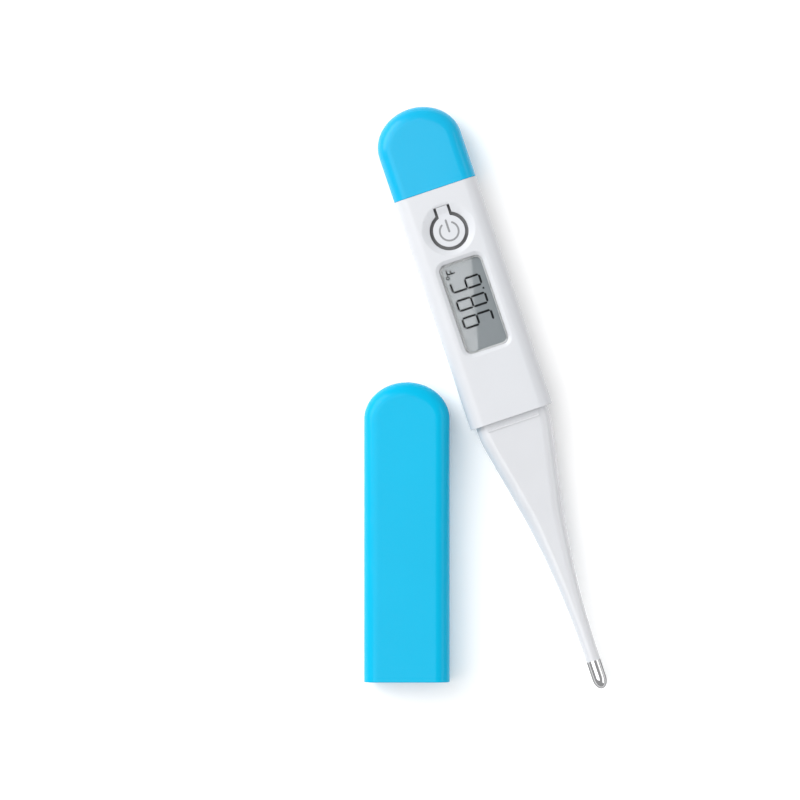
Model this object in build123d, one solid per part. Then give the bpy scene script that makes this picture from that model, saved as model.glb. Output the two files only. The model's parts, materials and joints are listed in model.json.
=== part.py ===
from build123d import *
import math
import os

# Digital clinical thermometer with a pull-off battery cover and a loose storage cap.
# Millimetres. X runs across the thermometer, +Y along it from the steel tip to the
# battery cover, and +Z out of the display. The origin is the centre of the casing's
# flat back, on which the thermometer lies.

os.makedirs("parts", exist_ok=True)

# ---------------------------------------------------------------- driving dimensions

# Slab section shared by the casing, the battery cover and the storage cap
BODY_WIDTH = 18.0
BODY_THICK = 10.6
FRONT_ROUND = 3.0
BACK_ROUND = 3.2
WALL = 1.15
DOME_HEIGHT = 7.8
OVERCUT = 1.0  # how far a cutter runs past the face that it cuts
EDGE_MARGIN = 0.01  # how far above the open end an edge must lie to be rounded

# Lengths along Y
CASING_LENGTH = 50.4
COVER_LENGTH = 17.75
PROBE_LENGTH = 54.1
STEEL_LENGTH = 6.1
CAP_LENGTH = 63.0

# Battery cover
COVER_WALL = 2.15
SKIRT_LENGTH = 3.2
SKIRT_GAP = 0.10
SEAL_WIDTH = 0.9
SEAL_DEPTH = 0.5
SEAL_GAP = 0.03
GROOVE_OVERCUT = 0.5
COVER_CUT_OUT = 0.02

# Window and display, centred on DISPLAY_Y
DISPLAY_Y = -0.3
LENS_WIDTH = 9.4
LENS_LENGTH = 19.5
LENS_CORNER = 1.5
LENS_THICK = 0.4
LENS_DROP = 0.38
TAPE_THICK = 0.1
TAPE_BAND = 0.35
LENS_GAP = 0.04
BEVEL = 0.8
BEVEL_DEPTH = 0.4

GLASS_WIDTH = 11.6
REAR_GLASS_WIDTH = 9.6
GLASS_LENGTH = 21.2
GLASS_THICK = 0.5
FILM_THICK = 0.12
FILM_INSET = 0.5
GLASS_TOP = 9.28
FRAME_WIDTH = 12.9
FRAME_LENGTH = 22.4
FRAME_TOP = 9.35
ZEBRA_WIDTH = 0.7
ZEBRA_LENGTH = 19.6
ZEBRA_X = 5.3
EAR_LENGTH = 3.0
EAR_TOP = 7.9
PEG_R = 0.5
PEG_FROM_END = 0.8
PEG_STAND_OUT = 0.3
SEAT_GAP = 0.05
REAR_LIP = 0.6
FRAME_FLOOR = 0.8

# Power button: a pad on a neck in a keyhole slot, hinged where the neck ends
BUTTON_Y = 15.95
PAD_R = 3.36
SLOT_R = 4.07
NECK_WIDTH = 2.4
NECK_SLOT_WIDTH = 3.5
NECK_END_Y = 21.35
NECK_THICK = 0.5
NECK_GAP = 0.06
PAD_BOTTOM = 9.1
PIN_R = 1.0
PIN_BOTTOM = 7.85
PIN_OVERLAP = 0.1
DISH_Y = 16.5
DISH_R = 5.67
DISH_FLOOR_R = 3.7  # between the pad's edge and the slot's
DISH_DEPTH = 0.6
BOSS_R = 6.2
BOSS_BOTTOM = 8.6
BOSS_MARGIN = 0.2
BOSS_OVERLAP = 0.1
GASKET_THICK = 0.4
GASKET_HOLE_R = 1.5
GASKET_INSET = 0.8

# Tactile switch on the board
SWITCH_SIZE = 4.4
SWITCH_TOP = 6.9
SWITCH_CHAMFER = 0.4
FOOT_LENGTH = 1.0
FOOT_WIDTH = 0.7
FOOT_THICK = 0.25
FOOT_STAND_OUT = 0.3
FOOT_Y = 1.4
PLUNGER_R = 0.9
PLUNGER_BORE_R = 0.96
PLUNGER_BOTTOM = 6.25
PLUNGER_TOP = 7.80
PLUNGER_WELL = 5.85
PLUNGER_CHAMFER = 0.1

# Circuit board
BOARD_WIDTH = 12.0
BOARD_LOW_Y = -19.0
BOARD_HIGH_Y = 20.8
BOARD_BOTTOM = 4.8
BOARD_THICK = 0.8
SCREW_X = 4.2
SCREW_R = 0.55
SCREW_HEAD_R = 1.2
SCREW_HEAD_HEIGHT = 0.6
SCREW_TOP = 7.4
SCREW_GAP = 0.03
SCREW_RELIEF = 0.2
SCREW_HEAD_ROUND = 0.25
RECESS_LENGTH = 1.4
RECESS_WIDTH = 0.3
RECESS_DEPTH = 0.3
BOARD_CORNER = 0.8
SCREW_HOLE_GAP = 0.1
PEG_HOLE_GAP = 0.05

# Parts under the board
CHIP_Y = 3.0
CHIP_R = 3.0
CHIP_HEIGHT = 1.1
COMPONENT_X = 2.6
COMPONENT_ROWS = 4
COMPONENT_FIRST_Y = 8.6
COMPONENT_PITCH = 1.9
COMPONENT_LENGTH = 1.6
COMPONENT_WIDTH = 0.8
COMPONENT_HEIGHT = 0.5
COMPONENT_CHAMFER = 0.1

# Buzzer on the inside of the back wall
BUZZER_Y = -7.0
BUZZER_R = 4.5
CERAMIC_R = 3.2
DISC_THICK = 0.2
GLUE_THICK = 0.1
GLUE_WIDTH = 0.9
BUZZER_LEAD_X = 1.2
BUZZER_LEAD_Y = -1.2
BUZZER_LEAD_Z = 3.2
BUZZER_LEAD_BEND = 0.6
PLATE_LEAD_OFFSET = 3.7

# Battery tray, cell and contacts
TRAY_WIDTH = 12.6
TRAY_LOW_Y = 18.9
TRAY_HIGH_Y = 36.0
TRAY_BOTTOM = 2.6
TRAY_TOP = 8.0
CELL_Y = 30.4
CELL_R = 3.95
CELL_CAP_R = 3.0
CELL_BOTTOM = 3.65
CELL_CAP_HEIGHT = 0.5
CELL_HEIGHT = 3.6
CONTACT_WIDTH = 2.4
CONTACT_THICK = 0.2
CONTACT_Y = 18.5
CONTACT_REACH = 2.4
TRAY_CORNER = 3.0
TRAY_EDGE = 1.0
CELL_GAP = 0.15
CELL_FLOOR_GAP = 0.25
CELL_ROUND = 0.25
TRAY_BOARD_DEPTH = 2.05
TRAY_BOARD_GAP = 0.02
SLOT_GAP = 0.1

# Probe outline: a convex shoulder, a straight taper, then a long concave run to the stem
PROBE_ROOT_HALF_WIDTH = 7.8
PROBE_ROOT_HALF_THICK = 4.1
PROBE_STEM_R = 1.5
PROBE_SHOULDER_START = 1.5
PROBE_SHOULDER_R = 16.0
PROBE_TAPER_WIDTH = 0.20
PROBE_TAPER_THICK = 0.085
PROBE_CONCAVE_END = 52.0
PROBE_CORNER = 2.4
PROBE_WALL = 1.1
PROBE_BORE_R = 0.85
PROBE_PLUG_LENGTH = 5.0
PROBE_PLUG_GAP = 0.05
RIB_LENGTH = 11.4
RIB_WIDTH = 0.45
RIB_HEIGHT = 0.15
RIB_FROM_CASING = 1.4
RIB_ROOT = 0.85
RIB_ROUND = 0.1
CORNER_SHARE = 0.96  # largest corner radius, as a share of the half thickness
PROBE_STATIONS = [0, 1.5, 3.2, 4.8, 8, 12, 16, 20, 25, 30, 35, 40, 46, 52, PROBE_LENGTH]

# Steel tip and sensor
STEEL_R = 1.47
STEEL_WALL = 0.2
STEEL_DOME = 2.3
QUARTER_HANDLE = 0.5523  # handle length of the curve that makes a quarter ellipse
SPIGOT_LENGTH = 1.5
SPIGOT_R = 1.24
BEAD_R = 0.5
BEAD_FROM_END = 1.3
LEAD_R = 0.18
LEAD_X = 0.3
LEAD_BEND = 1.2
LEAD_FROM_BEAD = 0.2
LEAD_PAD_X = 1.0
LEAD_PAD_START = 0.4
LEAD_PAD_END = 2.6
LEAD_LIFT = 0.05
LEAD_TURN_FROM_CASING = 0.5
SOLDER_R = 0.55
SOLDER_FROM_END = 2.5
EPOXY_LENGTH = 3.2
EPOXY_R = 1.24

# Storage cap, lying beside the probe with its open end level with the steel tip
CAP_WALL = 1.2
CAP_TURN = -18.6
CAP_MOUTH_X = -38.6
CAP_MOUTH_Y = -71.0
GRIP_RIB_LENGTH = 9.0
GRIP_RIB_R = 0.35
GRIP_RIB_X = 4.0
GRIP_RIB_FROM_MOUTH = 1.0
GRIP_RIB_SINK = 0.1

# ---------------------------------------------------------------- derived values

CASING_HIGH_Y = CASING_LENGTH / 2
CASING_LOW_Y = -CASING_HIGH_Y
COVER_END_Y = CASING_HIGH_Y + COVER_LENGTH
STEM_END_Y = CASING_LOW_Y - PROBE_LENGTH
TIP_END_Y = STEM_END_Y - STEEL_LENGTH
MID_Z = BODY_THICK / 2
INNER_TOP = BODY_THICK - WALL
BOARD_TOP = BOARD_BOTTOM + BOARD_THICK
LENS_TOP = BODY_THICK - LENS_DROP
TAPE_BOTTOM = LENS_TOP - LENS_THICK - TAPE_THICK
FRAME_LOW_Y = DISPLAY_Y - FRAME_LENGTH / 2
FRAME_HIGH_Y = DISPLAY_Y + FRAME_LENGTH / 2
SCREW_Y = FRAME_LOW_Y - EAR_LENGTH / 2
SKIRT_LOW_Y = CASING_HIGH_Y - SKIRT_LENGTH
SKIRT_INSET = WALL + SKIRT_GAP
BOSS_LOW_Y = FRAME_HIGH_Y + BOSS_MARGIN
BOSS_HIGH_Y = SKIRT_LOW_Y - BOSS_MARGIN
PEG_Y = FRAME_HIGH_Y - PEG_FROM_END
REAR_TOP = GLASS_TOP - GLASS_THICK
REAR_BOTTOM = REAR_TOP - GLASS_THICK
PLATE_BOTTOM = WALL + GLUE_THICK
PLATE_TOP = PLATE_BOTTOM + DISC_THICK


# ---------------------------------------------------------------- shared shapes


def block(width, length, z_low, z_high, x=0.0, y=0.0):
    """Box centred on x, y, between two heights."""
    return Pos(x, y, (z_low + z_high) / 2) * Box(width, length, z_high - z_low)


def rod(radius, z_low, z_high, x=0.0, y=0.0):
    """Upright cylinder on x, y, between two heights."""
    return Pos(x, y, (z_low + z_high) / 2) * Cylinder(radius, z_high - z_low)


def rounded_plate(width, length, corner, z_low, z_high, y=0.0):
    """Plate with rounded corners, between two heights."""
    outline = Pos(0, y, z_low) * RectangleRounded(width, length, corner)
    return extrude(outline, amount=z_high - z_low)


def slab_section(inset):
    """The body's section, drawn across X and Z, inset evenly from the outside."""
    face = Rectangle(BODY_WIDTH - 2 * inset, BODY_THICK - 2 * inset)
    corners = face.vertices().group_by(Axis.Y)
    face = fillet(corners[-1], FRONT_ROUND - inset)
    corners = face.vertices().group_by(Axis.Y)
    return fillet(corners[0], BACK_ROUND - inset)


def slab(low_y, high_y, inset=0.0):
    """Straight length of the body's section."""
    section = Plane.XZ.offset(-low_y) * Pos(0, MID_Z) * slab_section(inset)
    return extrude(section, amount=low_y - high_y)


def domed_slab(low_y, end_y, inset=0.0):
    """Length of the body's section whose high end is an elliptical dome."""
    half = BODY_WIDTH / 2 - inset
    shoulder_y = end_y - DOME_HEIGHT
    with BuildSketch(Plane.XY.offset(inset)) as plan:
        with BuildLine():
            Polyline((-half, shoulder_y), (-half, low_y), (half, low_y), (half, shoulder_y))
            EllipticalCenterArc((0, shoulder_y), half, DOME_HEIGHT - inset, arc_size=180)
        make_face()
    solid = extrude(plan.sketch, amount=BODY_THICK - 2 * inset)
    for face_index, radius in ((-1, FRONT_ROUND - inset), (0, BACK_ROUND - inset)):
        rim = solid.faces().sort_by(Axis.Z)[face_index].edges()
        rounded = rim.filter_by(lambda edge: edge.center().Y > low_y + EDGE_MARGIN)
        solid = fillet(rounded, radius)
    return solid


def write(name, shape):
    """Write one node, either a single solid or a group of separate solids."""
    pieces = shape if isinstance(shape, list) else [shape]
    solids = [solid for piece in pieces for solid in piece.solids()]
    body = solids[0] if len(solids) == 1 else Compound(children=solids)
    export_step(body, f"parts/{name}.step")


# ---------------------------------------------------------------- casing and window


def lens_outline(margin, z_low, z_high):
    """Plate of the lens's outline, larger by margin all round."""
    width = LENS_WIDTH + 2 * margin
    length = LENS_LENGTH + 2 * margin
    return rounded_plate(width, length, LENS_CORNER + margin, z_low, z_high, DISPLAY_Y)


def lens_bevel():
    """Sloped frame round the window, from the lens up past the casing's front."""
    low = Pos(0, DISPLAY_Y, BODY_THICK - BEVEL_DEPTH)
    high = Pos(0, DISPLAY_Y, BODY_THICK + BEVEL_DEPTH)
    width = LENS_WIDTH + 2 * LENS_GAP
    length = LENS_LENGTH + 2 * LENS_GAP
    corner = LENS_CORNER + LENS_GAP
    inner = RectangleRounded(width, length, corner)
    outer = RectangleRounded(width + 4 * BEVEL, length + 4 * BEVEL, corner + 2 * BEVEL)
    return loft([low * inner, high * outer])


def keyhole(radius, neck_width, neck_end_y, z_low, z_high):
    """Round hole or pad with a neck towards the battery cover."""
    neck = block(neck_width, neck_end_y - BUTTON_Y, z_low, z_high, 0, (neck_end_y + BUTTON_Y) / 2)
    return rod(radius, z_low, z_high, 0, BUTTON_Y) + neck


def dish_cutter():
    """Shallow scoop: a flat floor under the button that opens out to the dish's rim."""
    floor = Pos(0, BUTTON_Y, BODY_THICK - DISH_DEPTH) * Circle(DISH_FLOOR_R)
    above_rim = Pos(0, 2 * DISH_Y - BUTTON_Y, BODY_THICK + DISH_DEPTH) * Circle(2 * DISH_R - DISH_FLOOR_R)
    return loft([floor, above_rim])


def casing():
    """White sleeve, open at both ends, with the window and the keyhole in its front."""
    shell = slab(CASING_LOW_Y, CASING_HIGH_Y) - slab(CASING_LOW_Y - OVERCUT, CASING_HIGH_Y + OVERCUT, WALL)
    boss = rod(BOSS_R, BOSS_BOTTOM, INNER_TOP + BOSS_OVERLAP, 0, BUTTON_Y)
    shell += boss & slab(BOSS_LOW_Y, BOSS_HIGH_Y, WALL - BOSS_OVERLAP / 2)
    shell -= lens_outline(LENS_GAP, TAPE_BOTTOM, BODY_THICK + OVERCUT)
    shell -= lens_outline(-TAPE_BAND, INNER_TOP - OVERCUT, BODY_THICK + OVERCUT)
    shell -= lens_bevel()
    shell -= keyhole(SLOT_R, NECK_SLOT_WIDTH, NECK_END_Y, BOSS_BOTTOM - OVERCUT, BODY_THICK + OVERCUT)
    return shell - dish_cutter()


def window_lens():
    """Clear plate that closes the window."""
    return lens_outline(0, LENS_TOP - LENS_THICK, LENS_TOP)


def window_adhesive():
    """Tape ring between the lens and its ledge."""
    ring = lens_outline(0, TAPE_BOTTOM, TAPE_BOTTOM + TAPE_THICK)
    return ring - lens_outline(-TAPE_BAND, TAPE_BOTTOM - OVERCUT, TAPE_BOTTOM + OVERCUT)


# ---------------------------------------------------------------- button and switch


def power_button():
    """Pad and neck, flush with the dish, with a pin down to the switch."""
    neck_low = BODY_THICK - DISH_DEPTH - NECK_THICK
    neck_end = NECK_END_Y - NECK_GAP
    middle_y = (neck_end + BUTTON_Y) / 2
    neck = block(NECK_WIDTH, neck_end - BUTTON_Y, neck_low, BODY_THICK, 0, middle_y)
    pad = rod(PAD_R, PAD_BOTTOM, BODY_THICK, 0, BUTTON_Y)
    pin = rod(PIN_R, PIN_BOTTOM, PAD_BOTTOM + PIN_OVERLAP, 0, BUTTON_Y)
    return (pad + neck + pin) - dish_cutter()


def button_gasket():
    """Silicone sheet under the keyhole, holed for the pin."""
    sheet = rod(BOSS_R - GASKET_INSET, BOSS_BOTTOM - GASKET_THICK, BOSS_BOTTOM, 0, BUTTON_Y)
    sheet &= slab(BOSS_LOW_Y, BOSS_HIGH_Y, WALL + BOSS_MARGIN)
    return sheet - rod(GASKET_HOLE_R, 0, BODY_THICK, 0, BUTTON_Y)


def switch_body():
    """Square switch housing with a well for the plunger and four feet."""
    body = block(SWITCH_SIZE, SWITCH_SIZE, BOARD_TOP, SWITCH_TOP, 0, BUTTON_Y)
    body = chamfer(body.edges().filter_by(Axis.Z), SWITCH_CHAMFER)
    foot_top = BOARD_TOP + FOOT_THICK
    for side in (-1, 1):
        for end in (-1, 1):
            x = side * (SWITCH_SIZE / 2 + FOOT_STAND_OUT)
            body += block(FOOT_LENGTH, FOOT_WIDTH, BOARD_TOP, foot_top, x, BUTTON_Y + end * FOOT_Y)
    return body - rod(PLUNGER_BORE_R, PLUNGER_WELL, BODY_THICK, 0, BUTTON_Y)


def switch_plunger():
    """Round plunger that the button's pin pushes."""
    plunger = rod(PLUNGER_R, PLUNGER_BOTTOM, PLUNGER_TOP, 0, BUTTON_Y)
    return chamfer(plunger.edges().group_by(Axis.Z)[0], PLUNGER_CHAMFER)


# ---------------------------------------------------------------- display


def display_plate(width, z_low, z_high):
    """One layer of the display."""
    return block(width, GLASS_LENGTH, z_low, z_high, 0, DISPLAY_Y)


def lcd_frame():
    """Holder that seats the display glasses and the two rubber strips on the board."""
    frame = block(FRAME_WIDTH, FRAME_LENGTH, BOARD_TOP, FRAME_TOP, 0, DISPLAY_Y)
    frame += block(FRAME_WIDTH, EAR_LENGTH, BOARD_TOP, EAR_TOP, 0, SCREW_Y)
    seat_length = GLASS_LENGTH + 2 * SEAT_GAP
    rear_seat_low = REAR_BOTTOM - FILM_THICK
    frame -= block(GLASS_WIDTH + 2 * SEAT_GAP, seat_length, REAR_TOP, BODY_THICK, 0, DISPLAY_Y)
    frame -= block(REAR_GLASS_WIDTH + 2 * SEAT_GAP, seat_length, rear_seat_low, BODY_THICK, 0, DISPLAY_Y)
    hollow_width = REAR_GLASS_WIDTH - 2 * REAR_LIP
    hollow_length = GLASS_LENGTH - 2 * REAR_LIP
    frame -= block(hollow_width, hollow_length, 0, rear_seat_low - FRAME_FLOOR, 0, DISPLAY_Y)
    strip_width = ZEBRA_WIDTH + SEAT_GAP
    strip_length = ZEBRA_LENGTH + 2 * SEAT_GAP
    for side in (-1, 1):
        x = side * SCREW_X
        frame -= block(strip_width, strip_length, 0, BODY_THICK, side * ZEBRA_X, DISPLAY_Y)
        frame -= rod(SCREW_R + SCREW_GAP, 0, SCREW_TOP + SCREW_RELIEF, x, SCREW_Y)
        frame += rod(PEG_R, BOARD_BOTTOM - PEG_STAND_OUT, BOARD_TOP + PEG_STAND_OUT, x, PEG_Y)
    return frame


def zebra_connectors():
    """Two rubber strips from the board up to the front glass."""
    return [
        block(ZEBRA_WIDTH, ZEBRA_LENGTH, BOARD_TOP, REAR_TOP, side * ZEBRA_X, DISPLAY_Y)
        for side in (-1, 1)
    ]


def frame_screws():
    """Two cross-recessed self-tapping screws from under the board into the frame."""
    screws = []
    for side in (-1, 1):
        x = side * SCREW_X
        head_low = BOARD_BOTTOM - SCREW_HEAD_HEIGHT
        screw = rod(SCREW_HEAD_R, head_low, BOARD_BOTTOM, x, SCREW_Y)
        screw = fillet(screw.edges().group_by(Axis.Z)[0], SCREW_HEAD_ROUND)
        screw += rod(SCREW_R, BOARD_BOTTOM - SCREW_GAP, SCREW_TOP, x, SCREW_Y)
        for width, length in ((RECESS_LENGTH, RECESS_WIDTH), (RECESS_WIDTH, RECESS_LENGTH)):
            screw -= block(width, length, head_low - RECESS_DEPTH, head_low + RECESS_DEPTH, x, SCREW_Y)
        screws.append(screw)
    return screws


# ---------------------------------------------------------------- circuit board


def circuit_board():
    """Board with holes for the frame's screws and pegs."""
    length = BOARD_HIGH_Y - BOARD_LOW_Y
    middle_y = (BOARD_HIGH_Y + BOARD_LOW_Y) / 2
    board = rounded_plate(BOARD_WIDTH, length, BOARD_CORNER, BOARD_BOTTOM, BOARD_TOP, middle_y)
    for side in (-1, 1):
        board -= rod(SCREW_R + SCREW_HOLE_GAP, 0, BODY_THICK, side * SCREW_X, SCREW_Y)
        board -= rod(PEG_R + PEG_HOLE_GAP, 0, BODY_THICK, side * SCREW_X, PEG_Y)
    return board


def driver_chip():
    """Epoxy drop over the bare chip, under the board."""
    ball_r = (CHIP_R**2 + CHIP_HEIGHT**2) / (2 * CHIP_HEIGHT)
    ball = Pos(0, CHIP_Y, BOARD_BOTTOM - CHIP_HEIGHT + ball_r) * Sphere(ball_r)
    return ball & rod(2 * CHIP_R, 0, BOARD_BOTTOM, 0, CHIP_Y)


def chip_components():
    """Small resistors and capacitors under the board."""
    low = BOARD_BOTTOM - COMPONENT_HEIGHT
    parts = []
    for column in (-1, 1):
        for row in range(COMPONENT_ROWS):
            x = column * COMPONENT_X
            y = COMPONENT_FIRST_Y + row * COMPONENT_PITCH
            part = block(COMPONENT_LENGTH, COMPONENT_WIDTH, low, BOARD_BOTTOM, x, y)
            ends = part.edges().filter_by(Axis.Y).group_by(Axis.Z)[0]
            parts.append(chamfer(ends, COMPONENT_CHAMFER))
    return parts


# ---------------------------------------------------------------- buzzer


def buzzer_adhesive():
    """Glue ring under the rim of the buzzer plate."""
    ring = rod(BUZZER_R, WALL, PLATE_BOTTOM, 0, BUZZER_Y)
    return ring - rod(BUZZER_R - GLUE_WIDTH, 0, PLATE_TOP, 0, BUZZER_Y)


def buzzer_plate():
    """Brass disc of the buzzer."""
    return rod(BUZZER_R, PLATE_BOTTOM, PLATE_TOP, 0, BUZZER_Y)


def buzzer_ceramic():
    """Piezo ceramic on the brass disc."""
    return rod(CERAMIC_R, PLATE_TOP, PLATE_TOP + DISC_THICK, 0, BUZZER_Y)


def wire(points, bend, radius):
    """Round wire along straight runs joined by tangent arcs."""
    path = FilletPolyline(*points, radius=bend)
    start = path.location_at(0)
    return sweep(Plane(start.position, z_dir=path.tangent_at(0)) * Circle(radius), path=path)


def buzzer_leads():
    """Two wires from the buzzer up to the board."""
    ceramic_start = (-BUZZER_LEAD_X, BUZZER_Y, PLATE_TOP + DISC_THICK)
    plate_start = (BUZZER_LEAD_X, BUZZER_Y + PLATE_LEAD_OFFSET, PLATE_TOP)
    leads = []
    for start in (ceramic_start, plate_start):
        x, start_y, _ = start
        low = (x, start_y, BUZZER_LEAD_Z)
        rise = (x, BUZZER_LEAD_Y, BUZZER_LEAD_Z)
        top = (x, BUZZER_LEAD_Y, BOARD_BOTTOM)
        leads.append(wire([start, low, rise, top], BUZZER_LEAD_BEND, LEAD_R))
    return leads


# ---------------------------------------------------------------- battery


def battery_tray():
    """Tray past the board's end, with a round pocket for the cell and slots for its contacts."""
    length = TRAY_HIGH_Y - TRAY_LOW_Y
    middle_y = (TRAY_HIGH_Y + TRAY_LOW_Y) / 2
    tray = block(TRAY_WIDTH, length, TRAY_BOTTOM, TRAY_TOP, 0, middle_y)
    tray = fillet(tray.edges().filter_by(Axis.Z).group_by(Axis.Y)[-1], TRAY_CORNER)
    tray = fillet(tray.edges().filter_by(Axis.Y), TRAY_EDGE)
    tray -= rod(CELL_R + CELL_GAP, CELL_BOTTOM - CELL_FLOOR_GAP, BODY_THICK, 0, CELL_Y)
    board_low = BOARD_BOTTOM - TRAY_BOARD_GAP
    board_high = BOARD_TOP + TRAY_BOARD_GAP
    tray -= block(BOARD_WIDTH + SLOT_GAP, 2 * TRAY_BOARD_DEPTH, board_low, board_high, 0, TRAY_LOW_Y)
    channel_y = (TRAY_LOW_Y + CELL_Y) / 2
    channel_length = CELL_Y - TRAY_LOW_Y
    low_channel = (CELL_BOTTOM - CONTACT_THICK - SLOT_GAP / 2, CELL_BOTTOM + SLOT_GAP)
    high_channel = (CELL_BOTTOM + CELL_HEIGHT - SLOT_GAP / 2, BODY_THICK)
    for z_low, z_high in (low_channel, high_channel):
        tray -= block(CONTACT_WIDTH + 2 * SLOT_GAP, channel_length, z_low, z_high, 0, channel_y)
    return tray


def battery_cell():
    """LR41 button cell: a can with a narrower cap on its lower face."""
    cap_top = CELL_BOTTOM + CELL_CAP_HEIGHT
    can = rod(CELL_R, cap_top, CELL_BOTTOM + CELL_HEIGHT, 0, CELL_Y)
    can = fillet(can.edges().filter_by(GeomType.CIRCLE), CELL_ROUND)
    return can + rod(CELL_CAP_R, CELL_BOTTOM, cap_top + CELL_ROUND, 0, CELL_Y)


def battery_contact(z_low, riser_low, riser_high):
    """Flat strip along the cell's face, turned up or down to the board."""
    end_y = CELL_Y + CONTACT_REACH
    middle_y = (end_y + CONTACT_Y) / 2
    strip = block(CONTACT_WIDTH, end_y - CONTACT_Y, z_low, z_low + CONTACT_THICK, 0, middle_y)
    riser_y = CONTACT_Y + CONTACT_THICK / 2
    return strip + block(CONTACT_WIDTH, CONTACT_THICK, riser_low, riser_high, 0, riser_y)


def battery_contact_negative():
    """Strip under the cell, up to the board's underside."""
    low = CELL_BOTTOM - CONTACT_THICK
    return battery_contact(low, low, BOARD_BOTTOM)


def battery_contact_positive():
    """Strip over the cell, down to the board's top."""
    low = CELL_BOTTOM + CELL_HEIGHT
    return battery_contact(low, BOARD_TOP, low + CONTACT_THICK)


# ---------------------------------------------------------------- battery cover


def battery_cover():
    """Blue domed cover with a skirt that plugs into the casing."""
    cover = domed_slab(CASING_HIGH_Y + COVER_CUT_OUT, COVER_END_Y)
    cover += slab(SKIRT_LOW_Y, CASING_HIGH_Y + OVERCUT, SKIRT_INSET)
    cover -= domed_slab(SKIRT_LOW_Y - OVERCUT, COVER_END_Y, COVER_WALL)
    return cover - seal_ring(SKIRT_INSET - GROOVE_OVERCUT, SKIRT_INSET + SEAL_DEPTH, 0)


def seal_ring(outer_inset, inner_inset, end_gap):
    """Ring of the body's section round the middle of the skirt."""
    low = SKIRT_LOW_Y + (SKIRT_LENGTH - SEAL_WIDTH) / 2 + end_gap
    high = low + SEAL_WIDTH - 2 * end_gap
    return slab(low, high, outer_inset) - slab(low - OVERCUT, high + OVERCUT, inner_inset)


def cover_seal():
    """Rubber ring in the skirt's groove, against the casing's bore."""
    return seal_ring(WALL + SEAL_GAP, SKIRT_INSET + SEAL_DEPTH, SEAL_GAP)


# ---------------------------------------------------------------- probe and sensor


def probe_half(distance, root, slope):
    """Half width or half thickness of the probe at a distance from the casing."""
    angle = math.atan(slope)
    shoulder_end = PROBE_SHOULDER_START + PROBE_SHOULDER_R * math.sin(angle)
    shoulder_half = root - PROBE_SHOULDER_R * (1 - math.cos(angle))
    drop = shoulder_half - PROBE_STEM_R
    run = PROBE_CONCAVE_END - shoulder_end
    concave_r = (slope * run - drop) / (slope * math.sin(angle) - (1 - math.cos(angle)))
    taper_end = PROBE_CONCAVE_END - concave_r * math.sin(angle)
    if distance <= PROBE_SHOULDER_START:
        return root
    if distance < shoulder_end:
        across = distance - PROBE_SHOULDER_START
        return root - PROBE_SHOULDER_R + math.sqrt(PROBE_SHOULDER_R**2 - across**2)
    if distance < taper_end:
        return shoulder_half - slope * (distance - shoulder_end)
    if distance < PROBE_CONCAVE_END:
        across = PROBE_CONCAVE_END - distance
        return PROBE_STEM_R + concave_r - math.sqrt(concave_r**2 - across**2)
    return PROBE_STEM_R


def inner_half(half, root):
    """Half size of the probe's hollow, which narrows in step with the outside."""
    share = (root - PROBE_WALL - PROBE_BORE_R) / (root - PROBE_STEM_R)
    return PROBE_BORE_R + (half - PROBE_STEM_R) * share


def probe_section(distance, hollow):
    """Rounded section of the probe, or of its hollow, at a distance from the casing."""
    half_width = probe_half(distance, PROBE_ROOT_HALF_WIDTH, PROBE_TAPER_WIDTH)
    half_thick = probe_half(distance, PROBE_ROOT_HALF_THICK, PROBE_TAPER_THICK)
    corner = PROBE_CORNER
    if hollow:
        half_width = inner_half(half_width, PROBE_ROOT_HALF_WIDTH)
        half_thick = inner_half(half_thick, PROBE_ROOT_HALF_THICK)
        corner = PROBE_CORNER - PROBE_WALL
    corner = min(corner, CORNER_SHARE * half_thick)
    outline = RectangleRounded(2 * half_width, 2 * half_thick, corner)
    return Plane.XZ.offset(distance - CASING_LOW_Y) * Pos(0, MID_Z) * outline


def probe():
    """Hollow stem that narrows from the casing's width to the steel tip."""
    shell = loft([probe_section(d, False) for d in PROBE_STATIONS])
    plug_section = Plane.XZ.offset(-CASING_LOW_Y) * Pos(0, MID_Z) * slab_section(WALL + PROBE_PLUG_GAP)
    shell += extrude(plug_section, amount=-PROBE_PLUG_LENGTH)
    axis_plane = Plane.XZ.offset(-STEM_END_Y) * Pos(0, MID_Z)
    shell += extrude(axis_plane * Circle(SPIGOT_R), amount=SPIGOT_LENGTH)
    rib_y = CASING_LOW_Y - RIB_FROM_CASING
    rib_top = MID_Z + PROBE_ROOT_HALF_THICK + RIB_HEIGHT
    rib = block(RIB_LENGTH, RIB_WIDTH, rib_top - RIB_HEIGHT - RIB_ROOT, rib_top, 0, rib_y)
    shell += fillet(rib.edges().group_by(Axis.Z)[-1], RIB_ROUND)
    shell -= loft([probe_section(d, True) for d in PROBE_STATIONS])
    root_bore = Plane.XZ.offset(-CASING_LOW_Y) * Pos(0, MID_Z) * RectangleRounded(
        2 * (PROBE_ROOT_HALF_WIDTH - PROBE_WALL),
        2 * (PROBE_ROOT_HALF_THICK - PROBE_WALL),
        PROBE_CORNER - PROBE_WALL,
    )
    shell -= extrude(root_bore, amount=-PROBE_PLUG_LENGTH - OVERCUT)
    return shell - extrude(axis_plane * Circle(PROBE_BORE_R), amount=SPIGOT_LENGTH + OVERCUT)


def bullet(radius, length, dome, end_y):
    """Solid of revolution about the probe's axis: a cylinder with an elliptical end."""
    with BuildSketch(Plane.XY) as profile:
        with BuildLine():
            Polyline((0, end_y), (0, end_y + length), (radius, end_y + length), (radius, end_y + dome))
            Bezier(
                (0, end_y),
                (radius * QUARTER_HANDLE, end_y),
                (radius, end_y + dome * (1 - QUARTER_HANDLE)),
                (radius, end_y + dome),
            )
        make_face()
    return Pos(0, 0, MID_Z) * revolve(profile.sketch, Axis.Y)


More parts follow.
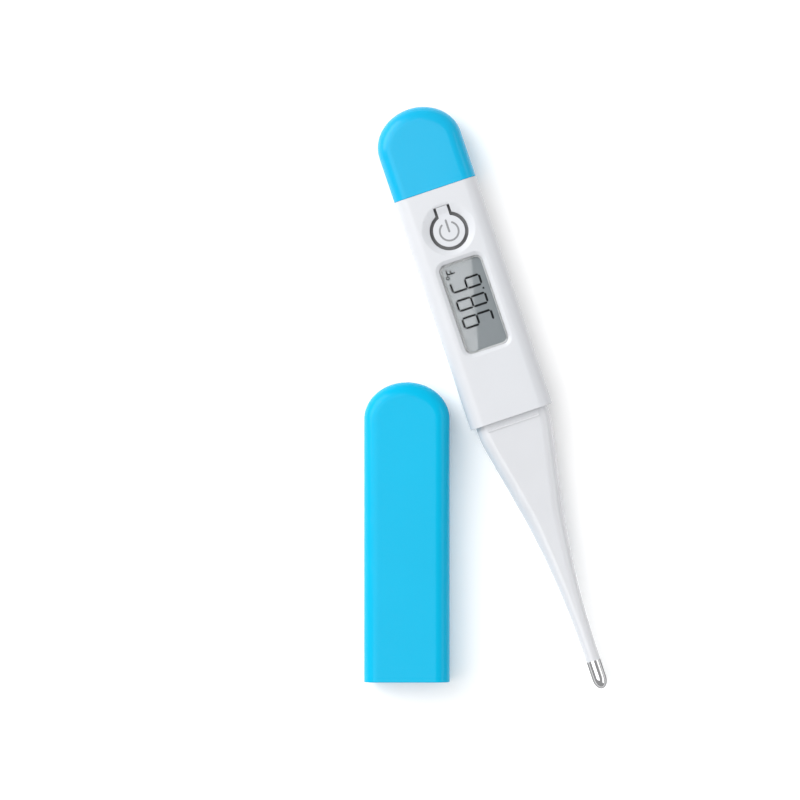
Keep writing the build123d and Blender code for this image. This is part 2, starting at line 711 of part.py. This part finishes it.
def steel_tip():
    """Closed thin-walled steel bullet over the end of the probe."""
    outside = bullet(STEEL_R, STEEL_LENGTH, STEEL_DOME, TIP_END_Y)
    inner_end = TIP_END_Y + STEEL_WALL
    return outside - bullet(STEEL_R - STEEL_WALL, STEEL_LENGTH, STEEL_DOME - STEEL_WALL, inner_end)


def thermistor_bead():
    """Glass bead of the sensor, at the bottom of the steel tip."""
    return Pos(0, TIP_END_Y + BEAD_FROM_END, MID_Z) * Sphere(BEAD_R)


def thermistor_leads():
    """Two insulated wires from the bead along the probe to the board's top."""
    bead_y = TIP_END_Y + BEAD_FROM_END + LEAD_FROM_BEAD
    pad_z = BOARD_TOP + LEAD_R + LEAD_LIFT
    leads = []
    for side in (-1, 1):
        x = side * LEAD_X
        pad_x = side * LEAD_PAD_X
        points = [
            (x, bead_y, MID_Z),
            (x, CASING_LOW_Y + LEAD_TURN_FROM_CASING, MID_Z),
            (pad_x, BOARD_LOW_Y + LEAD_PAD_START, pad_z),
            (pad_x, BOARD_LOW_Y + LEAD_PAD_END, pad_z),
        ]
        leads.append(wire(points, LEAD_BEND, LEAD_R) - thermistor_bead())
    return leads


def solder_joints():
    """Two solder domes over the ends of the thermistor leads."""
    joints = []
    joint_y = BOARD_LOW_Y + SOLDER_FROM_END
    for side, lead in zip((-1, 1), thermistor_leads()):
        x = side * LEAD_PAD_X
        dome = Pos(x, joint_y, BOARD_TOP) * Sphere(SOLDER_R)
        dome &= rod(2 * SOLDER_R, BOARD_TOP, BODY_THICK, x, joint_y)
        joints.append(dome - lead)
    return joints


def tip_epoxy():
    """Epoxy round the bead, filling the end of the steel tip."""
    gap = STEEL_R - STEEL_WALL - EPOXY_R
    end_y = TIP_END_Y + STEEL_WALL + gap
    fill = bullet(EPOXY_R, EPOXY_LENGTH, STEEL_DOME - STEEL_WALL - gap, end_y)
    fill -= thermistor_bead()
    for lead in thermistor_leads():
        fill -= lead
    return fill


# ---------------------------------------------------------------- storage cap


def storage_cap():
    """Blue cap that slides over the probe, lying beside it with its open end to the tip."""
    cap = domed_slab(0, CAP_LENGTH) - domed_slab(-OVERCUT, CAP_LENGTH, CAP_WALL)
    rib_y = GRIP_RIB_LENGTH / 2 + GRIP_RIB_FROM_MOUTH
    for side in (-1, 1):
        rib_place = Pos(side * GRIP_RIB_X, rib_y, CAP_WALL - GRIP_RIB_SINK)
        cap += rib_place * Rot(90, 0, 0) * Cylinder(GRIP_RIB_R, GRIP_RIB_LENGTH)
    return Pos(CAP_MOUTH_X, CAP_MOUTH_Y, 0) * Rot(0, 0, CAP_TURN) * cap


# ---------------------------------------------------------------- all nodes

NODES = [
    casing,
    window_lens,
    window_adhesive,
    power_button,
    button_gasket,
    switch_body,
    switch_plunger,
    lcd_frame,
    zebra_connectors,
    frame_screws,
    circuit_board,
    driver_chip,
    chip_components,
    buzzer_adhesive,
    buzzer_plate,
    buzzer_ceramic,
    buzzer_leads,
    battery_tray,
    battery_cell,
    battery_contact_negative,
    battery_contact_positive,
    battery_cover,
    cover_seal,
    probe,
    steel_tip,
    thermistor_bead,
    thermistor_leads,
    solder_joints,
    tip_epoxy,
    storage_cap,
]

# Layers of the display, from the front: width, bottom and top of each
DISPLAY_LAYERS = {
    "lcd_polariser": (GLASS_WIDTH - 2 * FILM_INSET, GLASS_TOP, GLASS_TOP + FILM_THICK),
    "lcd_front_glass": (GLASS_WIDTH, REAR_TOP, GLASS_TOP),
    "lcd_rear_glass": (REAR_GLASS_WIDTH, REAR_BOTTOM, REAR_TOP),
    "lcd_reflector": (REAR_GLASS_WIDTH, REAR_BOTTOM - FILM_THICK, REAR_BOTTOM),
}

for make_node in NODES:
    write(make_node.__name__, make_node())
for layer_name, layer_size in DISPLAY_LAYERS.items():
    write(layer_name, display_plate(*layer_size))
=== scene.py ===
import json
import math

import bmesh
import bpy
from mathutils import Matrix, Vector


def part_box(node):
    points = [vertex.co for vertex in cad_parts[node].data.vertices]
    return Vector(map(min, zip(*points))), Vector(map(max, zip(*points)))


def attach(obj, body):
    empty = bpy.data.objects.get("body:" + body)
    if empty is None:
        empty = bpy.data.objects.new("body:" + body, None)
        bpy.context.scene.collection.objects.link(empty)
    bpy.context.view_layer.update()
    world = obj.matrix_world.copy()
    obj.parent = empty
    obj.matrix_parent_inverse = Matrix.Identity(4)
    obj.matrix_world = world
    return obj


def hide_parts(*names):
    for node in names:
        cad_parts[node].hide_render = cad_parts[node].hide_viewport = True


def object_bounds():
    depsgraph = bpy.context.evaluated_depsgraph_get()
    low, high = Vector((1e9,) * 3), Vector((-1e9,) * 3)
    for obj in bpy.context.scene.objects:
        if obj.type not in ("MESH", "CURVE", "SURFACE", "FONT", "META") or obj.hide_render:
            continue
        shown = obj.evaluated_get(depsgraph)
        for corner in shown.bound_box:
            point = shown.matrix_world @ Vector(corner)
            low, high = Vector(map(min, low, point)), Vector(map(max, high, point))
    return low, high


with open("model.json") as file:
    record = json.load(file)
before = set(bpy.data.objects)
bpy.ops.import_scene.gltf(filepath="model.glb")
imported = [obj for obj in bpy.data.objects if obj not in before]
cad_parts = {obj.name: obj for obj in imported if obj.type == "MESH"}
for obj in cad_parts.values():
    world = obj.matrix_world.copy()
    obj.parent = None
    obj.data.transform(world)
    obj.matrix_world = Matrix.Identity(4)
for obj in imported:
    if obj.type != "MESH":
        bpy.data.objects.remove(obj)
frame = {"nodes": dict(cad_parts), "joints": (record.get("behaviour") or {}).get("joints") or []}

MM = 0.001
MICRON = 0.000001
UP = Vector((0, 0, 1))
DOWN = Vector((0, 0, -1))
WHITE_LIGHT = (1, 1, 1, 1)
CAD_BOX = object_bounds()
NODES = frame["nodes"]

# The storage cap lies turned from the thermometer; its own axis is upright in the view
CAP_AXIS = -Vector(next(j for j in frame["joints"] if j["name"] == "cap_pull")["axis"])
VIEW_UP = CAP_AXIS.normalized()
VIEW_RIGHT = VIEW_UP.cross(UP)


def top_of(node):
    """Height of a CAD node's highest point."""
    return Vector(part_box(node)[1]).z


# ---------------------------------------------------------------- materials

# Scales of noise, in cells a metre
FLOOR_CLOUD = 12
FLOOR_GLOSS = 40
CLOUD = 60
GLOSS_PATCH = 900
DUST = 700
FINE_GLOSS_PATCH = 1500
RUBBER_GRAIN = 4000
MOULD_GRAIN = 5200
POLISH_MARKS = 6000
FILM_SPECKLE = 9000

# Factors on a noise's scale along X, Y and Z: a small one draws its marks out that way
EVEN = (1, 1, 1)
ALONG_X = (0.1, 1, 1)
ALONG_Y = (1, 0.05, 1)
POLISHED_ALONG_Y = (1, 0.08, 1)

COAT_ROUGHNESS = 0.04
SCATTER_REACH = (1.2 * MM, 1.1 * MM, 1.0 * MM)
# Steel colours facing the view and at grazing angles; the grazing one is painted darker, a painted
# reflection of dark surroundings
STEEL_FACING = (0.66, 0.66, 0.67)
STEEL_PAINTED_DARK_EDGE = (0.15, 0.15, 0.155)
STEEL_TINT = (0.4, 0.4, 0.4, 1)
WINDOW_IOR = 1.22
WINDOW_ROUGHNESS = 0.02
TRACK_SCALE = 260
TRACK_WANDER = 2.5


class Look:
    """A node material under construction, with short calls for the nodes it needs."""

    def __init__(self, name):
        self.material = bpy.data.materials.new(name)
        self.material.use_nodes = True
        self.tree = self.material.node_tree
        self.bsdf = self.tree.nodes["Principled BSDF"]
        self.place = self.node("ShaderNodeTexCoord").outputs["Object"]

    def node(self, kind, **settings):
        made = self.tree.nodes.new(kind)
        for key, value in settings.items():
            setattr(made, key, value)
        return made

    def link(self, output, socket):
        self.tree.links.new(output, socket)

    def noise(self, scale, detail=4.0, rough=0.55, stretch=EVEN):
        """Noise at a real scale: scale is in cells a metre."""
        mapping = self.node("ShaderNodeMapping")
        mapping.inputs["Scale"].default_value = stretch
        self.link(self.place, mapping.inputs["Vector"])
        noise = self.node("ShaderNodeTexNoise")
        noise.inputs["Scale"].default_value = scale
        noise.inputs["Detail"].default_value = detail
        noise.inputs["Roughness"].default_value = rough
        self.link(mapping.outputs["Vector"], noise.inputs["Vector"])
        return noise.outputs["Fac"]

    def ramp(self, factor, low, high, start=0.3, end=0.7):
        """Two numbers or two colours blended by a factor."""
        ramp = self.node("ShaderNodeValToRGB")
        for stop, place, value in zip(ramp.color_ramp.elements, (start, end), (low, high)):
            stop.position = place
            stop.color = (value, value, value, 1) if isinstance(value, float) else (*value, 1)
        self.link(factor, ramp.inputs["Fac"])
        return ramp.outputs["Color"]

    def colour(self, base, spread, factor):
        """Base colour that varies a little with a factor."""
        low = tuple(channel * (1 - spread) for channel in base)
        high = tuple(min(1.0, channel * (1 + spread)) for channel in base)
        self.link(self.ramp(factor, low, high), self.bsdf.inputs["Base Color"])

    def roughness(self, low, high, factor):
        self.link(self.ramp(factor, low, high), self.bsdf.inputs["Roughness"])

    def bump(self, height, distance):
        """Bump of a real height, in metres."""
        bump = self.node("ShaderNodeBump")
        bump.inputs["Strength"].default_value = 1.0
        bump.inputs["Distance"].default_value = distance
        self.link(height, bump.inputs["Height"])
        self.link(bump.outputs["Normal"], self.bsdf.inputs["Normal"])


def moulded(name, base, low_rough, high_rough, grain=0.6 * MICRON, scatter=0.0, shine=0.5, coat=0.0):
    """Injection-moulded plastic: faint cloudiness, a fine grain and uneven gloss."""
    look = Look(name)
    look.colour(base, 0.012, look.noise(CLOUD))
    look.roughness(low_rough, high_rough, look.noise(GLOSS_PATCH, detail=5))
    look.bump(look.noise(MOULD_GRAIN, detail=3), grain)
    look.bsdf.inputs["Specular IOR Level"].default_value = shine
    look.bsdf.inputs["Coat Weight"].default_value = coat
    look.bsdf.inputs["Coat Roughness"].default_value = COAT_ROUGHNESS
    if scatter:
        look.bsdf.inputs["Subsurface Weight"].default_value = scatter
        look.bsdf.inputs["Subsurface Radius"].default_value = SCATTER_REACH
        look.bsdf.inputs["Subsurface Scale"].default_value = 1.0
    return look.material


def metal(name, base, low_rough, high_rough, stretch=EVEN, scale=2500):
    """Metal with fine marks, drawn out along one direction if stretch says so."""
    look = Look(name)
    marks = look.noise(scale, detail=4, rough=0.6, stretch=stretch)
    look.colour(base, 0.05, marks)
    look.roughness(low_rough, high_rough, marks)
    look.bump(marks, 2 * MICRON)
    look.bsdf.inputs["Metallic"].default_value = 1.0
    return look.material


def polished_steel(name):
    """Mirror-polished steel with marks from polishing along it; its colour is painted darker at grazing
    angles, a painted reflection of dark surroundings.
    """
    look = Look(name)
    marks = look.noise(POLISH_MARKS, detail=4, rough=0.6, stretch=POLISHED_ALONG_Y)
    # Painted reflection: the base colour darkens towards grazing angles to stand for dark surroundings
    # mirrored in the edges
    facing = look.node("ShaderNodeLayerWeight")
    facing.inputs["Blend"].default_value = 0.5
    painted_dark_reflection = look.ramp(facing.outputs["Facing"], STEEL_FACING, STEEL_PAINTED_DARK_EDGE, start=0.30, end=0.62)
    look.link(painted_dark_reflection, look.bsdf.inputs["Base Color"])
    look.roughness(0.06, 0.13, marks)
    look.bump(marks, 0.6 * MICRON)
    look.bsdf.inputs["Metallic"].default_value = 1.0
    look.bsdf.inputs["Specular Tint"].default_value = STEEL_TINT
    return look.material


def rubber(name, base, grain=12 * MICRON):
    """Dull rubber with a dusty surface."""
    look = Look(name)
    look.colour(base, 0.15, look.noise(DUST))
    look.roughness(0.55, 0.75, look.noise(FINE_GLOSS_PATCH))
    look.bump(look.noise(RUBBER_GRAIN, detail=5), grain)
    return look.material


def clear_plate(name):
    """Clear acrylic: its front mirrors by Fresnel, and everything else goes straight through."""
    look = Look(name)
    clear = look.node("ShaderNodeBsdfTransparent")
    gloss = look.node("ShaderNodeBsdfGlossy")
    gloss.inputs["Roughness"].default_value = WINDOW_ROUGHNESS
    fresnel = look.node("ShaderNodeFresnel")
    fresnel.inputs["IOR"].default_value = WINDOW_IOR
    front = look.node("ShaderNodeMath", operation="SUBTRACT")
    front.inputs[0].default_value = 1.0
    look.link(look.node("ShaderNodeNewGeometry").outputs["Backfacing"], front.inputs[1])
    outer = look.node("ShaderNodeMath", operation="MULTIPLY")
    look.link(front.outputs["Value"], outer.inputs[0])
    look.link(fresnel.outputs["Fac"], outer.inputs[1])
    mix = look.node("ShaderNodeMixShader")
    look.link(outer.outputs["Value"], mix.inputs["Fac"])
    look.link(clear.outputs["BSDF"], mix.inputs[1])
    look.link(gloss.outputs["BSDF"], mix.inputs[2])
    look.link(mix.outputs["Shader"], look.tree.nodes["Material Output"].inputs["Surface"])
    return look.material


def display_film(name):
    """Grey polarising film: smooth enough to mirror the panel above it."""
    look = Look(name)
    look.colour((0.205, 0.229, 0.242), 0.02, look.noise(FILM_SPECKLE, detail=2))
    look.roughness(0.008, 0.014, look.noise(FINE_GLOSS_PATCH))
    look.bsdf.inputs["Specular IOR Level"].default_value = 1.0
    return look.material


def circuit_green(name):
    """Solder mask over copper tracks."""
    look = Look(name)
    tracks = look.node("ShaderNodeTexWave", wave_type="BANDS", bands_direction="X")
    tracks.inputs["Scale"].default_value = TRACK_SCALE
    tracks.inputs["Distortion"].default_value = TRACK_WANDER
    look.link(look.place, tracks.inputs["Vector"])
    look.link(
        look.ramp(tracks.outputs["Fac"], (0.012, 0.10, 0.045), (0.02, 0.19, 0.08), start=0.45, end=0.55),
        look.bsdf.inputs["Base Color"],
    )
    look.roughness(0.25, 0.4, look.noise(GLOSS_PATCH))
    look.bump(tracks.outputs["Fac"], 20 * MICRON)
    return look.material


def paint(material, *nodes):
    """Gives CAD nodes one material."""
    for node in nodes:
        slots = NODES[node].data.materials
        slots.clear()
        slots.append(material)


WHITE = (0.585, 0.598, 0.625)
PROBE_WHITE = (0.620, 0.630, 0.655)
BLUE = (0.004, 0.385, 0.635)
CAP_BLUE = (0.0, 0.41, 0.655)
BLUE_GRAIN = 0.25 * MICRON

# Materials that are seen from outside
paint(moulded("casing_white", WHITE, 0.30, 0.38, scatter=0.05), "casing", "power_button")
paint(moulded("probe_white", PROBE_WHITE, 0.12, 0.18, scatter=0.08), "probe")
paint(moulded("cover_blue", BLUE, 0.24, 0.27, BLUE_GRAIN, shine=0.14, coat=0.20), "battery_cover")
paint(moulded("cap_blue", CAP_BLUE, 0.23, 0.26, BLUE_GRAIN, shine=0.08, coat=0.12), "storage_cap")
paint(clear_plate("window_clear"), "window_lens")
paint(display_film("display_film"), "lcd_polariser")
paint(rubber("silicone_dark", (0.25, 0.25, 0.255)), "button_gasket", "cover_seal")
paint(rubber("grey_tape", (0.47, 0.485, 0.49)), "window_adhesive", "buzzer_adhesive")
paint(polished_steel("steel_polished"), "steel_tip")

# Materials that are only inside
paint(moulded("display_glass", (0.30, 0.34, 0.33), 0.05, 0.12), "lcd_front_glass", "lcd_rear_glass")
paint(metal("reflector", (0.7, 0.71, 0.72), 0.4, 0.5), "lcd_reflector")
paint(rubber("zebra_rubber", (0.55, 0.28, 0.36)), "zebra_connectors")
paint(metal("nickel", (0.62, 0.61, 0.58), 0.18, 0.3, scale=1800), "frame_screws", "battery_cell")
paint(
    metal("spring_bronze", (0.75, 0.56, 0.30), 0.2, 0.32, ALONG_Y, scale=4000),
    "battery_contact_negative",
    "battery_contact_positive",
)
paint(metal("buzzer_brass", (0.75, 0.55, 0.24), 0.25, 0.4, ALONG_X, scale=4000), "buzzer_plate")
paint(moulded("buzzer_white", (0.7, 0.68, 0.6), 0.4, 0.55), "buzzer_ceramic")
paint(circuit_green("circuit_green"), "circuit_board")
paint(rubber("chip_black", (0.02, 0.02, 0.02), 6 * MICRON), "driver_chip", "switch_body")
paint(moulded("component_tan", (0.36, 0.26, 0.16), 0.3, 0.45), "chip_components")
paint(moulded("plunger_red", (0.45, 0.06, 0.03), 0.3, 0.4), "switch_plunger")
paint(moulded("frame_grey", (0.60, 0.61, 0.62), 0.35, 0.45), "lcd_frame", "battery_tray")
paint(metal("solder", (0.68, 0.68, 0.68), 0.2, 0.35, scale=3000), "solder_joints")
paint(moulded("wire_cover", (0.5, 0.03, 0.02), 0.3, 0.4), "thermistor_leads", "buzzer_leads")
paint(moulded("bead_glass", (0.2, 0.08, 0.03), 0.08, 0.15), "thermistor_bead")
paint(moulded("epoxy", (0.4, 0.33, 0.16), 0.2, 0.3), "tip_epoxy")


# ---------------------------------------------------------------- moulded exteriors

WELD_DISTANCE = 0.1 * MICRON
FLAT_ANGLE = math.radians(0.4)
SHARP_ANGLE = math.radians(16)
EDGE_SEGMENTS = 3


def new_piece(name, mesh, body, material):
    """Turns a bmesh into a piece that rides on a body."""
    bmesh.ops.recalc_face_normals(mesh, faces=mesh.faces)
    data = bpy.data.meshes.new(name)
    mesh.to_mesh(data)
    mesh.free()
    data.materials.append(material)
    piece = bpy.data.objects.new(name, data)
    bpy.context.scene.collection.objects.link(piece)
    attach(piece, body)
    return piece


def softened(node, body, edge):
    """Makes a moulded part with its sharp edges rounded by edge, to stand for its CAD node."""
    mesh = bmesh.new()
    mesh.from_mesh(NODES[node].data)
    bmesh.ops.remove_doubles(mesh, verts=mesh.verts, dist=WELD_DISTANCE)
    bmesh.ops.dissolve_limit(mesh, angle_limit=FLAT_ANGLE, verts=mesh.verts, edges=mesh.edges)
    sharp = [e for e in mesh.edges if e.calc_face_angle(0) > SHARP_ANGLE]
    bmesh.ops.bevel(
        mesh,
        geom=sharp,
        offset=edge,
        segments=EDGE_SEGMENTS,
        profile=0.5,
        affect="EDGES",
        loop_slide=True,
    )
    for face in mesh.faces:
        face.smooth = True
    material = NODES[node].data.materials[0]
    piece = new_piece(f"{node}_shell", mesh, body, material)
    piece.modifiers.new("weighted_normals", "WEIGHTED_NORMAL")
    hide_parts(node)


# ---------------------------------------------------------------- printed marks

INK_HEIGHT = 0.012 * MM
ROUND_STEPS = 6
NARROWEST = 0.02  # of a line's width, where its round end closes
RAY_HEIGHT = 1.0


def prism(mesh, outline, low):
    """Adds a thin closed prism over an outline of (x, y) points."""
    bottom = [mesh.verts.new((x, y, low)) for x, y in outline]
    top = [mesh.verts.new((x, y, low + INK_HEIGHT)) for x, y in outline]
    mesh.faces.new(bottom[::-1])
    mesh.faces.new(top)
    for i in range(len(outline)):
        j = (i + 1) % len(outline)
        mesh.faces.new((bottom[i], bottom[j], top[j], top[i]))


def ribbon(mesh, path, width, surface, closed=False):
    """Adds a flat line along a path, half sunk in a surface(x, y) -> z; an open line has round ends."""
    half = width / 2
    sections = []
    count = len(path)
    for i, point in enumerate(path):
        before = path[i - 1] if i or closed else point
        after = path[(i + 1) % count] if i < count - 1 or closed else point
        sections.append((point, (after - before).normalized(), half))
    if not closed:
        for end, sign in ((0, -1), (-1, 1)):
            point, along, _ = sections[end]
            for step in range(1, ROUND_STEPS + 1):
                angle = math.pi / 2 * step / ROUND_STEPS
                place = point + along * sign * half * math.sin(angle)
                extra = (place, along, max(half * math.cos(angle), half * NARROWEST))
                sections.insert(0 if end == 0 else len(sections), extra)
    rings = []
    for place, along, reach in sections:
        side = Vector((-along.y, along.x)) * reach
        corners = [place - side, place + side]
        heights = [surface(c.x, c.y) for c in corners]
        under = [mesh.verts.new((c.x, c.y, z - INK_HEIGHT)) for c, z in zip(corners, heights)]
        over = [mesh.verts.new((c.x, c.y, z + INK_HEIGHT)) for c, z in zip(corners[::-1], heights[::-1])]
        rings.append(under + over)
    pairs = list(zip(rings, rings[1:])) + ([(rings[-1], rings[0])] if closed else [])
    for first, second in pairs:
        for k in range(4):
            m = (k + 1) % 4
            mesh.faces.new((first[k], first[m], second[m], second[k]))
    if not closed:
        mesh.faces.new(rings[0])
        mesh.faces.new(rings[-1][::-1])


def arc(centre, radius, start, end, steps):
    """Points of an arc, angles in degrees from +X."""
    angles = [math.radians(start + (end - start) * i / steps) for i in range(steps + 1)]
    return [centre + Vector((math.cos(a), math.sin(a))) * radius for a in angles]


def onto(node):
    """Height of the top of a node at x, y."""
    piece = NODES[node]

    def surface(x, y):
        hit, place, _, _ = piece.ray_cast(Vector((x, y, RAY_HEIGHT)), DOWN)
        return place.z if hit else 0.0

    return surface


# Which of top, upper left, upper right, middle, lower left, lower right, bottom are lit
SEGMENTS = {"9": "1111011", "8": "1111111", "6": "1101111"}
# The same segments' ends: t, m, b for the digit's top, middle and bottom, l and r for its sides
SEGMENT_ENDS = ("tl tr", "ml tl", "mr tr", "ml mr", "bl ml", "br mr", "bl br")

# A digit is read with its top towards -X and its left towards -Y
DIGIT_WIDTH = 2.63 * MM
DIGIT_TOP = -3.56 * MM
DIGIT_MIDDLE = -0.18 * MM
DIGIT_FOOT = 3.20 * MM
DIGIT_STARTS = {"9": -4.83 * MM, "8": -0.99 * MM, "6": 3.05 * MM}
STROKE = 0.47 * MM
SEGMENT_GAP = 0.07 * MM

POINT_CENTRE = Vector((3.02 * MM, 2.36 * MM))
POINT_HALF = 0.19 * MM

# The unit: a small ring, and an F that stands the same way as the digits
DEGREE_CENTRE = Vector((-3.42, 6.60)) * MM
DEGREE_RADIUS = 0.31 * MM
DEGREE_LINE = 0.22 * MM
DEGREE_STEPS = 24
F_TOP = -3.3 * MM
F_MIDDLE = -2.5 * MM
F_FOOT = -1.7 * MM
F_LEFT = 7.27 * MM
F_TOP_RIGHT = 8.2 * MM
F_MIDDLE_RIGHT = 7.95 * MM
F_LINE = 0.28 * MM


def segment(start, end):
    """Outline of one display segment: a bar with pointed ends between two corners."""
    along = (end - start).normalized()
    across = Vector((-along.y, along.x)) * STROKE / 2
    start, end = start + along * SEGMENT_GAP, end - along * SEGMENT_GAP
    tip = along * STROKE / 2
    points = (start, start + tip + across, end - tip + across)
    points += (end, end - tip - across, start + tip - across)
    return [(p.x, p.y) for p in points]


def digit(mesh, text, low):
    """One digit of the reading, made of its lit segments."""
    left = DIGIT_STARTS[text] + STROKE / 2
    right = DIGIT_STARTS[text] + DIGIT_WIDTH - STROKE / 2
    rows = {"t": DIGIT_TOP + STROKE / 2, "m": DIGIT_MIDDLE, "b": DIGIT_FOOT - STROKE / 2}
    for lit, pair in zip(SEGMENTS[text], SEGMENT_ENDS):
        if lit == "1":
            corners = [Vector((rows[e[0]], left if e[1] == "l" else right)) for e in pair.split()]
            prism(mesh, segment(*corners), low)


def display_reading():
    """The reading 98.6 and its unit, as dark segments on the display's front film."""
    mesh = bmesh.new()
    low = top_of("lcd_polariser")

    def film(x, y):
        return low

    for text in SEGMENTS:
        digit(mesh, text, low)
    square = ((-1, -1), (1, -1), (1, 1), (-1, 1))
    corners = [POINT_CENTRE + Vector(p) * POINT_HALF for p in square]
    prism(mesh, [(c.x, c.y) for c in corners], low)
    last = 360 - 360 / DEGREE_STEPS
    degree = arc(DEGREE_CENTRE, DEGREE_RADIUS, 0, last, DEGREE_STEPS - 1)
    ribbon(mesh, degree, DEGREE_LINE, film, closed=True)
    strokes = (
        ((F_TOP, F_LEFT), (F_FOOT, F_LEFT)),
        ((F_TOP, F_LEFT), (F_TOP, F_TOP_RIGHT)),
        ((F_MIDDLE, F_LEFT), (F_MIDDLE, F_MIDDLE_RIGHT)),
    )
    for stroke in strokes:
        ribbon(mesh, [Vector(p) for p in stroke], F_LINE, film)
    ink = moulded("display_ink", (0.003, 0.004, 0.005), 0.4, 0.5, shine=0.15)
    new_piece("display_reading", mesh, "thermometer", ink)


ICON_CENTRE = Vector((0, 15.89)) * MM
ICON_RADIUS = 1.97 * MM
ICON_GAP = 35  # degrees left open on each side of the bar
ICON_STEPS = 60
ICON_LINE = 0.40 * MM
BAR_START = 15.85 * MM
BAR_LENGTH = 2.4 * MM
BAR_STEPS = 8
BAR_LINE = 0.44 * MM


def power_icon():
    """Power symbol printed on the pad: an open ring and a short bar."""
    mesh = bmesh.new()
    pad = onto("power_button")
    ring = arc(ICON_CENTRE, ICON_RADIUS, 90 + ICON_GAP, 450 - ICON_GAP, ICON_STEPS)
    ribbon(mesh, ring, ICON_LINE, pad)
    bar = [Vector((0, BAR_START + BAR_LENGTH * i / BAR_STEPS)) for i in range(BAR_STEPS + 1)]
    ribbon(mesh, bar, BAR_LINE, pad)
    print_grey = moulded("print_grey", (0.235, 0.24, 0.25), 0.4, 0.5)
    new_piece("power_icon", mesh, "button", print_grey)


display_reading()
power_icon()
softened("casing", "thermometer", 0.11 * MM)
softened("power_button", "button", 0.08 * MM)
softened("battery_cover", "battery_cover", 0.11 * MM)
softened("storage_cap", "storage_cap", 0.18 * MM)
softened("window_lens", "thermometer", 0.06 * MM)


# ---------------------------------------------------------------- floor, light, camera

FLOOR_REACH = 1.6
FLOOR_WHITE = (0.93, 0.93, 0.93)
FLOOR_GLOW = 0.16

CAMERA_HEIGHT = 1.6
VIEW_WIDTH = 0.1677
VIEW_CENTRE = (-21.08 * MM, -14.37 * MM)
SENSOR = 36.0
CLIP_START = 0.01
CLIP_END = 10

WORLD_STRENGTH = 0.42

# Two points on the key panel's straight edge, which the camera sees mirrored in the display
PANEL_EDGE = (Vector((17.5, 24.3)) * MM, Vector((9.5, -7.2)) * MM)
PANEL_HEIGHT = 1.01
PANEL_SIZE = 1.0
PANEL_WATTS = 7.4

# Name; direction as right and up in the view and height; distance; width; length; watts
SIDE_LIGHTS = (
    ("left_panel", (-0.78, 0.40, 0.48), 0.9, 0.9, 0.45, 5.6),
    ("right_panel", (0.86, -0.10, 0.50), 0.9, 0.9, 0.45, 1.9),
    ("streak_panel", (-0.45, 0.47, 0.76), 1.1, 0.62, 0.04, 1.6),
)


def floor():
    """Plain pale floor at the height of the object's lowest point."""
    mesh = bmesh.new()
    bmesh.ops.create_grid(mesh, x_segments=2, y_segments=2, size=FLOOR_REACH)
    data = bpy.data.meshes.new("floor")
    mesh.to_mesh(data)
    mesh.free()
    plane = bpy.data.objects.new("floor", data)
    plane.location.z = CAD_BOX[0][2]
    bpy.context.scene.collection.objects.link(plane)
    look = Look("floor_white")
    look.colour(FLOOR_WHITE, 0.004, look.noise(FLOOR_CLOUD))
    look.roughness(0.75, 0.85, look.noise(FLOOR_GLOSS))
    look.bsdf.inputs["Specular IOR Level"].default_value = 0.2
    look.bsdf.inputs["Emission Color"].default_value = WHITE_LIGHT
    look.bsdf.inputs["Emission Strength"].default_value = FLOOR_GLOW
    data.materials.append(look.material)


def area_light(name, place, aim, width, length, watts, turn=0.0):
    """Soft rectangular light at a place, facing a direction and turned about it."""
    data = bpy.data.lights.new(name, "AREA")
    data.shape = "RECTANGLE"
    data.size = width
    data.size_y = length
    data.energy = watts
    light = bpy.data.objects.new(name, data)
    light.rotation_mode = "QUATERNION"
    facing = aim.to_track_quat("-Z", "Y")
    light.rotation_quaternion = facing @ Matrix.Rotation(turn, 3, "Z").to_quaternion()
    light.location = place
    bpy.context.scene.collection.objects.link(light)


def camera():
    """Looks straight down on the display, turned so that the cap stands upright."""
    centre = Vector((*VIEW_CENTRE, top_of("casing")))
    data = bpy.data.cameras.new("camera")
    data.sensor_width = SENSOR
    data.lens = SENSOR * CAMERA_HEIGHT / VIEW_WIDTH
    data.clip_start = CLIP_START
    data.clip_end = CLIP_END
    eye = bpy.data.objects.new("camera", data)
    turn = Matrix((VIEW_RIGHT, VIEW_UP, UP)).transposed().to_4x4()
    eye.matrix_world = Matrix.Translation(centre + UP * CAMERA_HEIGHT) @ turn
    bpy.context.scene.collection.objects.link(eye)
    bpy.context.scene.camera = eye


def key_panel():
    """Overhead panel whose straight edge the display mirrors."""
    along = (PANEL_EDGE[0] - PANEL_EDGE[1]).normalized()
    inward = Vector((-along.y, along.x))
    middle = (PANEL_EDGE[0] + PANEL_EDGE[1]) / 2 + inward * PANEL_SIZE / 2
    place = middle.to_3d() + UP * PANEL_HEIGHT
    # The panel faces down, and lies square to its edge
    turn = math.atan2(along.y, along.x) - math.pi / 2
    area_light("key_panel", place, DOWN, PANEL_SIZE, PANEL_SIZE, PANEL_WATTS, turn)


def lighting():
    """Bright studio: a large panel overhead, panels to both sides and pale air all round."""
    world = bpy.data.worlds.new("studio")
    world.use_nodes = True
    background = world.node_tree.nodes["Background"]
    background.inputs["Color"].default_value = WHITE_LIGHT
    background.inputs["Strength"].default_value = WORLD_STRENGTH
    bpy.context.scene.world = world
    key_panel()
    for name, (right, up, high), distance, width, length, watts in SIDE_LIGHTS:
        direction = VIEW_RIGHT * right + VIEW_UP * up + UP * high
        area_light(name, direction * distance, -direction, width, length, watts)
    bpy.context.scene.view_settings.view_transform = "Standard"


floor()
camera()
lighting()
